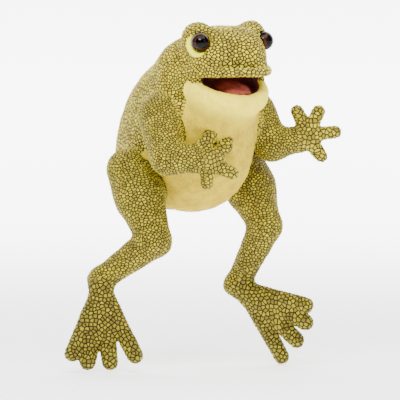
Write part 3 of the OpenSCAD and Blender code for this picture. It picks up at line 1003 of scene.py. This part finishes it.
CORE_REGIONS = [
    lambda p: body_distance(p, 5, -20, 134),
    lambda p: mouth_hollow(p) - 1.2,
    in_patch(-1),
    in_patch(1),
    lambda p: np.maximum(LOWER_LIP.distance(p) - 2.8, p[..., 1] - HINGE[1] + 9),
    lambda p: UPPER_LIP.distance(p) - 1.6,
    lambda p: (p @ ALONG) - 7.5,
    in_cream,
]
(R_SLEEVE, R_MOUTH, R_PATCH_RIGHT, R_PATCH_LEFT, R_LOWER_LIP, R_UPPER_LIP, R_HEM, R_CREAM, R_MOSS) = range(9)

points, quads = core_clay.mesh()
labels = label_faces(points, quads, CORE_REGIONS)
straighten(points, quads, labels, CORE_REGIONS, 1.2 * STEP)
points, normals, quads, labels = refine("core", points, quads, labels)
cloth = np.where(labels == R_UPPER_LIP, R_MOSS, labels)
seam = seam_depth(len(points), quads, cloth)

centre = points[quads].mean(1)
across_neck = centre @ NECK_WAY
zone = np.where(across_neck < NECK_START, 0, np.where(across_neck < NECK_END + 1, 1, 2))
lower_jaw = (centre[:, 2] + closed(centre)[:, 2]) / 2 < 109
plain_cells = scale_space(4.0)


def core_places(p):
    """Scales a little longer along the body, and wider than high on the head."""
    t = np.clip((p @ NECK_WAY - 105) / 45, 0, 1)
    t = (t * t * (3 - 2 * t))[:, None]
    q = (p - NECK) / CORE_SIZE
    body = q - 0.2 * (q @ ALONG)[:, None] * ALONG
    head = q * np.array([0.76, 1, 1.08], np.float32)
    return body + t * (head - body)


moss_pattern = scale_pattern(core_places(points), quads, cloth == R_MOSS, CORE_SIZE)
# 1 at the lower lip, fading over the cloth below it
lip_glow = np.exp(-np.maximum(LOWER_LIP.distance(points) - 1, 0) / 7).astype(np.float32)


def neck_bend(thing):
    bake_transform(thing)


def jaw_bend(thing):
    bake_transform(thing)


def core_piece(name, keep, cloth_kind, nodes, how):
    """One panel of the body, head or jaw. how is the body it rides, or a function that bakes its place into
    its mesh.
    """
    slot, look, relief = cloth_kind
    moss = slot == "moss_plush"
    thing = piece(name, points, normals, quads, keep, seam, core_places if moss else plain_cells, look, relief,
                  moss_pattern if moss else None, lip_glow)
    if callable(how):
        how(thing)
    else:
        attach(thing, how)
    if nodes:
        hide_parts(*nodes)


# Cloths: slot, material and relief
IN_MOSS = ("moss_plush", MOSS[CORE_SIZE], SCALES)
IN_CREAM = ("cream_plush", CREAM, PLUSH)
IN_LINING = ("mouth_cloth", LINING, SMOOTH)
moss, cream, mouth = labels == R_MOSS, labels == R_CREAM, labels == R_MOUTH

core_piece("plush_back", moss & (zone == 0), IN_MOSS, ["back_skin", "body_stuffing"], "torso")
core_piece("plush_nape", moss & (zone == 1), IN_MOSS, [], neck_bend)
core_piece("plush_head", moss & (zone == 2), IN_MOSS,
           ["head_skin", "head_stuffing", "eyelid_hood_right", "eyelid_hood_left"], "head")
core_piece("plush_upper_lip", labels == R_UPPER_LIP, IN_MOSS, ["upper_lip"], "head")
core_piece("plush_belly", cream & (zone == 0), IN_CREAM, ["belly_panel"], "torso")
core_piece("plush_throat", cream & (zone == 1), IN_CREAM, [], neck_bend)
core_piece("plush_chin", cream & (zone == 2), IN_CREAM,
           ["chin_skin", "chin_stuffing", "thumb_pocket"], jaw_bend)
core_piece("plush_lower_lip", labels == R_LOWER_LIP, ("yellow_plush", YELLOW, PLUSH),
           ["lower_lip"], jaw_bend)
core_piece("lining_palate", mouth & ~lower_jaw, IN_LINING,
           ["palate_lining", "palate_board", "finger_pocket"], "head")
core_piece("lining_jaw", mouth & lower_jaw, IN_LINING, ["jaw_lining", "jaw_board"], jaw_bend)
core_piece("lining_sleeve", labels == R_SLEEVE, ("sleeve_cloth", SLEEVE, SMOOTH),
           ["hand_sleeve"], "torso")
core_piece("hem_binding", labels == R_HEM, ("hem_binding", HEM, SMOOTH), ["sleeve_hem"], "torso")
for side, region in (("right", R_PATCH_RIGHT), ("left", R_PATCH_LEFT)):
    core_piece(f"plush_eye_patch_{side}", labels == region, ("yellow_plush", PATCH, PLUSH),
               [f"eye_patch_{side}"], "head")

# ---------------------------------------------------------------- the eyes and the tongue


def globe(name, centre, radius, rings, look):
    """A closed ball."""
    mesh = bpy.data.meshes.new(name)
    build = bmesh.new()
    bmesh.ops.create_uvsphere(build, u_segments=2 * rings, v_segments=rings, radius=radius * MM)
    bmesh.ops.translate(build, verts=build.verts, vec=Vector([float(x) * MM for x in centre]))
    for face in build.faces:
        face.smooth = True
    build.to_mesh(mesh)
    build.free()
    places = np.zeros(3 * len(mesh.vertices), np.float32)
    mesh.vertices.foreach_get("co", places)
    mesh.attributes.new("rest", "FLOAT_VECTOR", "POINT").data.foreach_set("vector", places / MM)
    mesh.materials.append(look)
    thing = bpy.data.objects.new(name, mesh)
    bpy.context.scene.collection.objects.link(thing)
    return thing


for side, sign in SIDES.items():
    place, look = mirrored(EYE + 1.2 * EYE_LOOK, sign), mirrored(EYE_LOOK, sign)
    gaze = unit([0.36 * sign, -0.93, 0.03])
    gloss = eye_material(f"eye_gloss_{side}", place, gaze)
    ball_eye = globe(f"glass_eye_{side}", place, EYE_R - 0.1, 40, gloss)
    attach(ball_eye, "head")
    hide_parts(f"eye_{side}", f"eye_washer_{side}")


def tongue_distance(p):
    """A flat cushion in the closed jaw's frame."""
    q = closed(p) - np.array([0, -143, 105.2], np.float32)
    rise = q[..., 2] + 0.12 * q[..., 1]
    x, y, z = np.abs(q[..., 0]) / 16.5, np.abs(q[..., 1]) / 20.5, np.abs(rise) / 7.0
    plan = (x ** 2.3 + y ** 2.3 + 1e-9) ** (1 / 2.3)
    return ((plan ** 2.4 + z ** 2.4 + 1e-9) ** (1 / 2.4) - 1) * 9


tongue_clay = Clay([-28, -178, 70], [28, -108, 128], STEP * 0.8)
tongue_clay.add(Form(tongue_distance, [-22, -172, 76], [22, -112, 122]), 1)
tongue_clay.cut(in_jaw(tube([0, -169, 116.4], [0, -124, 111.0], 2.2, 2.2)), 3)
points, quads = tongue_clay.mesh()
points, normals, quads, labels = refine("tongue", points, quads, np.zeros(len(quads), np.int32))
tongue = piece("plush_tongue", points, normals, quads, labels == 0, np.ones(len(points), np.float32),
               plain_cells, TONGUE, PLUSH)
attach(tongue, "jaw")
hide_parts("tongue")

# ---------------------------------------------------------------- the studio

scene = bpy.context.scene
VIEW_TURN = math.radians(-33)
VIEW_RISE = math.radians(4)
VIEW_BACK = Vector((math.sin(VIEW_TURN) * math.cos(VIEW_RISE), -math.cos(VIEW_TURN) * math.cos(VIEW_RISE),
                    math.sin(VIEW_RISE)))
SIDEWAYS = Vector((math.cos(VIEW_TURN), math.sin(VIEW_TURN), 0))
BEHIND = (-math.sin(VIEW_TURN), math.cos(VIEW_TURN), 0.0)
MIDDLE = Vector((0.0365, -0.0255, -0.0211))


def studio_material(name, shade, glow):
    """White paper, which glows behind the frog as a lit backdrop does."""
    material, nodes, shader = new_material(name)
    place = nodes.add("ShaderNodeNewGeometry").outputs["Position"]
    depth = nodes.add("ShaderNodeVectorMath", {0: place, 1: BEHIND}, operation="DOT_PRODUCT")
    nodes.feed(shader, "Emission Color", (1, 1, 1, 1))
    nodes.feed(shader, "Emission Strength", nodes.step(depth.outputs["Value"], 0.2, 2.0, 1.2, glow))
    nodes.feed(shader, "Base Color", (shade, shade, shade, 1))
    nodes.feed(shader, "Roughness", 0.9)
    nodes.feed(shader, "Specular IOR Level", 0.1)
    return material


def sweep(name, floor_z, size, rise):
    """A floor that curves up behind into a wall."""
    profile = [(-size, 0.0), (size * 0.55, 0.0)]
    profile += [(size * 0.55 + rise * math.sin(math.radians(a)), rise * (1 - math.cos(math.radians(a))))
                for a in range(6, 91, 6)]
    profile += [(size * 0.55 + rise, size * 1.6)]
    turn = Matrix.Rotation(VIEW_TURN, 3, "Z")
    verts = []
    for x in (-size * 1.5, size * 1.5):
        verts += [tuple(turn @ Vector((x, y, 0)) + Vector((0, 0, floor_z + z))) for y, z in profile]
    n = len(profile)
    faces = [(i, n + i, n + i + 1, i + 1) for i in range(n - 1)]
    mesh = bpy.data.meshes.new(name)
    mesh.from_pydata(verts, [], faces)
    mesh.polygons.foreach_set("use_smooth", [True] * len(faces))
    mesh.materials.append(studio_material("studio_white", 0.9, 5.5))
    thing = bpy.data.objects.new(name, mesh)
    scene.collection.objects.link(thing)
    return thing


FLOOR_Z = min(o.bound_box[0][2] for o in scene.objects if o.name.startswith("plush_")) - 0.0006
sweep("studio_floor", FLOOR_Z, 10.0, 1.5)

world = bpy.data.worlds.new("studio")
scene.world = world
world.use_nodes = True
world.node_tree.nodes["Background"].inputs["Color"].default_value = (1.0, 1.0, 1.0, 1)
world.node_tree.nodes["Background"].inputs["Strength"].default_value = 0.12


def area_light(name, side, up, back, size, power):
    """A soft box aimed at the frog. side, up and back are metres from it, as the camera sees it."""
    data = bpy.data.lights.new(name, "AREA")
    data.shape = "RECTANGLE"
    data.size, data.size_y = size
    data.energy = power
    lamp = bpy.data.objects.new(name, data)
    lamp.location = MIDDLE + SIDEWAYS * side + Vector((0, 0, up)) + VIEW_BACK * back
    lamp.rotation_euler = (lamp.location - MIDDLE).to_track_quat("Z", "Y").to_euler()
    scene.collection.objects.link(lamp)


area_light("key", 0.1, 0.8, 0.45, (1.1, 0.5), 12)
area_light("catch", -0.12, 0.66, 0.85, (0.42, 0.22), 11)
area_light("fill", 1.5, 0.5, 1.2, (1.0, 1.0), 5)
area_light("rim", -1.0, 0.9, -0.6, (0.7, 0.9), 3)

camera_data = bpy.data.cameras.new("camera")
camera_data.sensor_width = 36
camera_data.lens = 450
camera = bpy.data.objects.new("camera", camera_data)
camera.location = MIDDLE + VIEW_BACK * 5.075
camera.rotation_euler = (-VIEW_BACK).to_track_quat("-Z", "Y").to_euler()
scene.collection.objects.link(camera)
scene.camera = camera
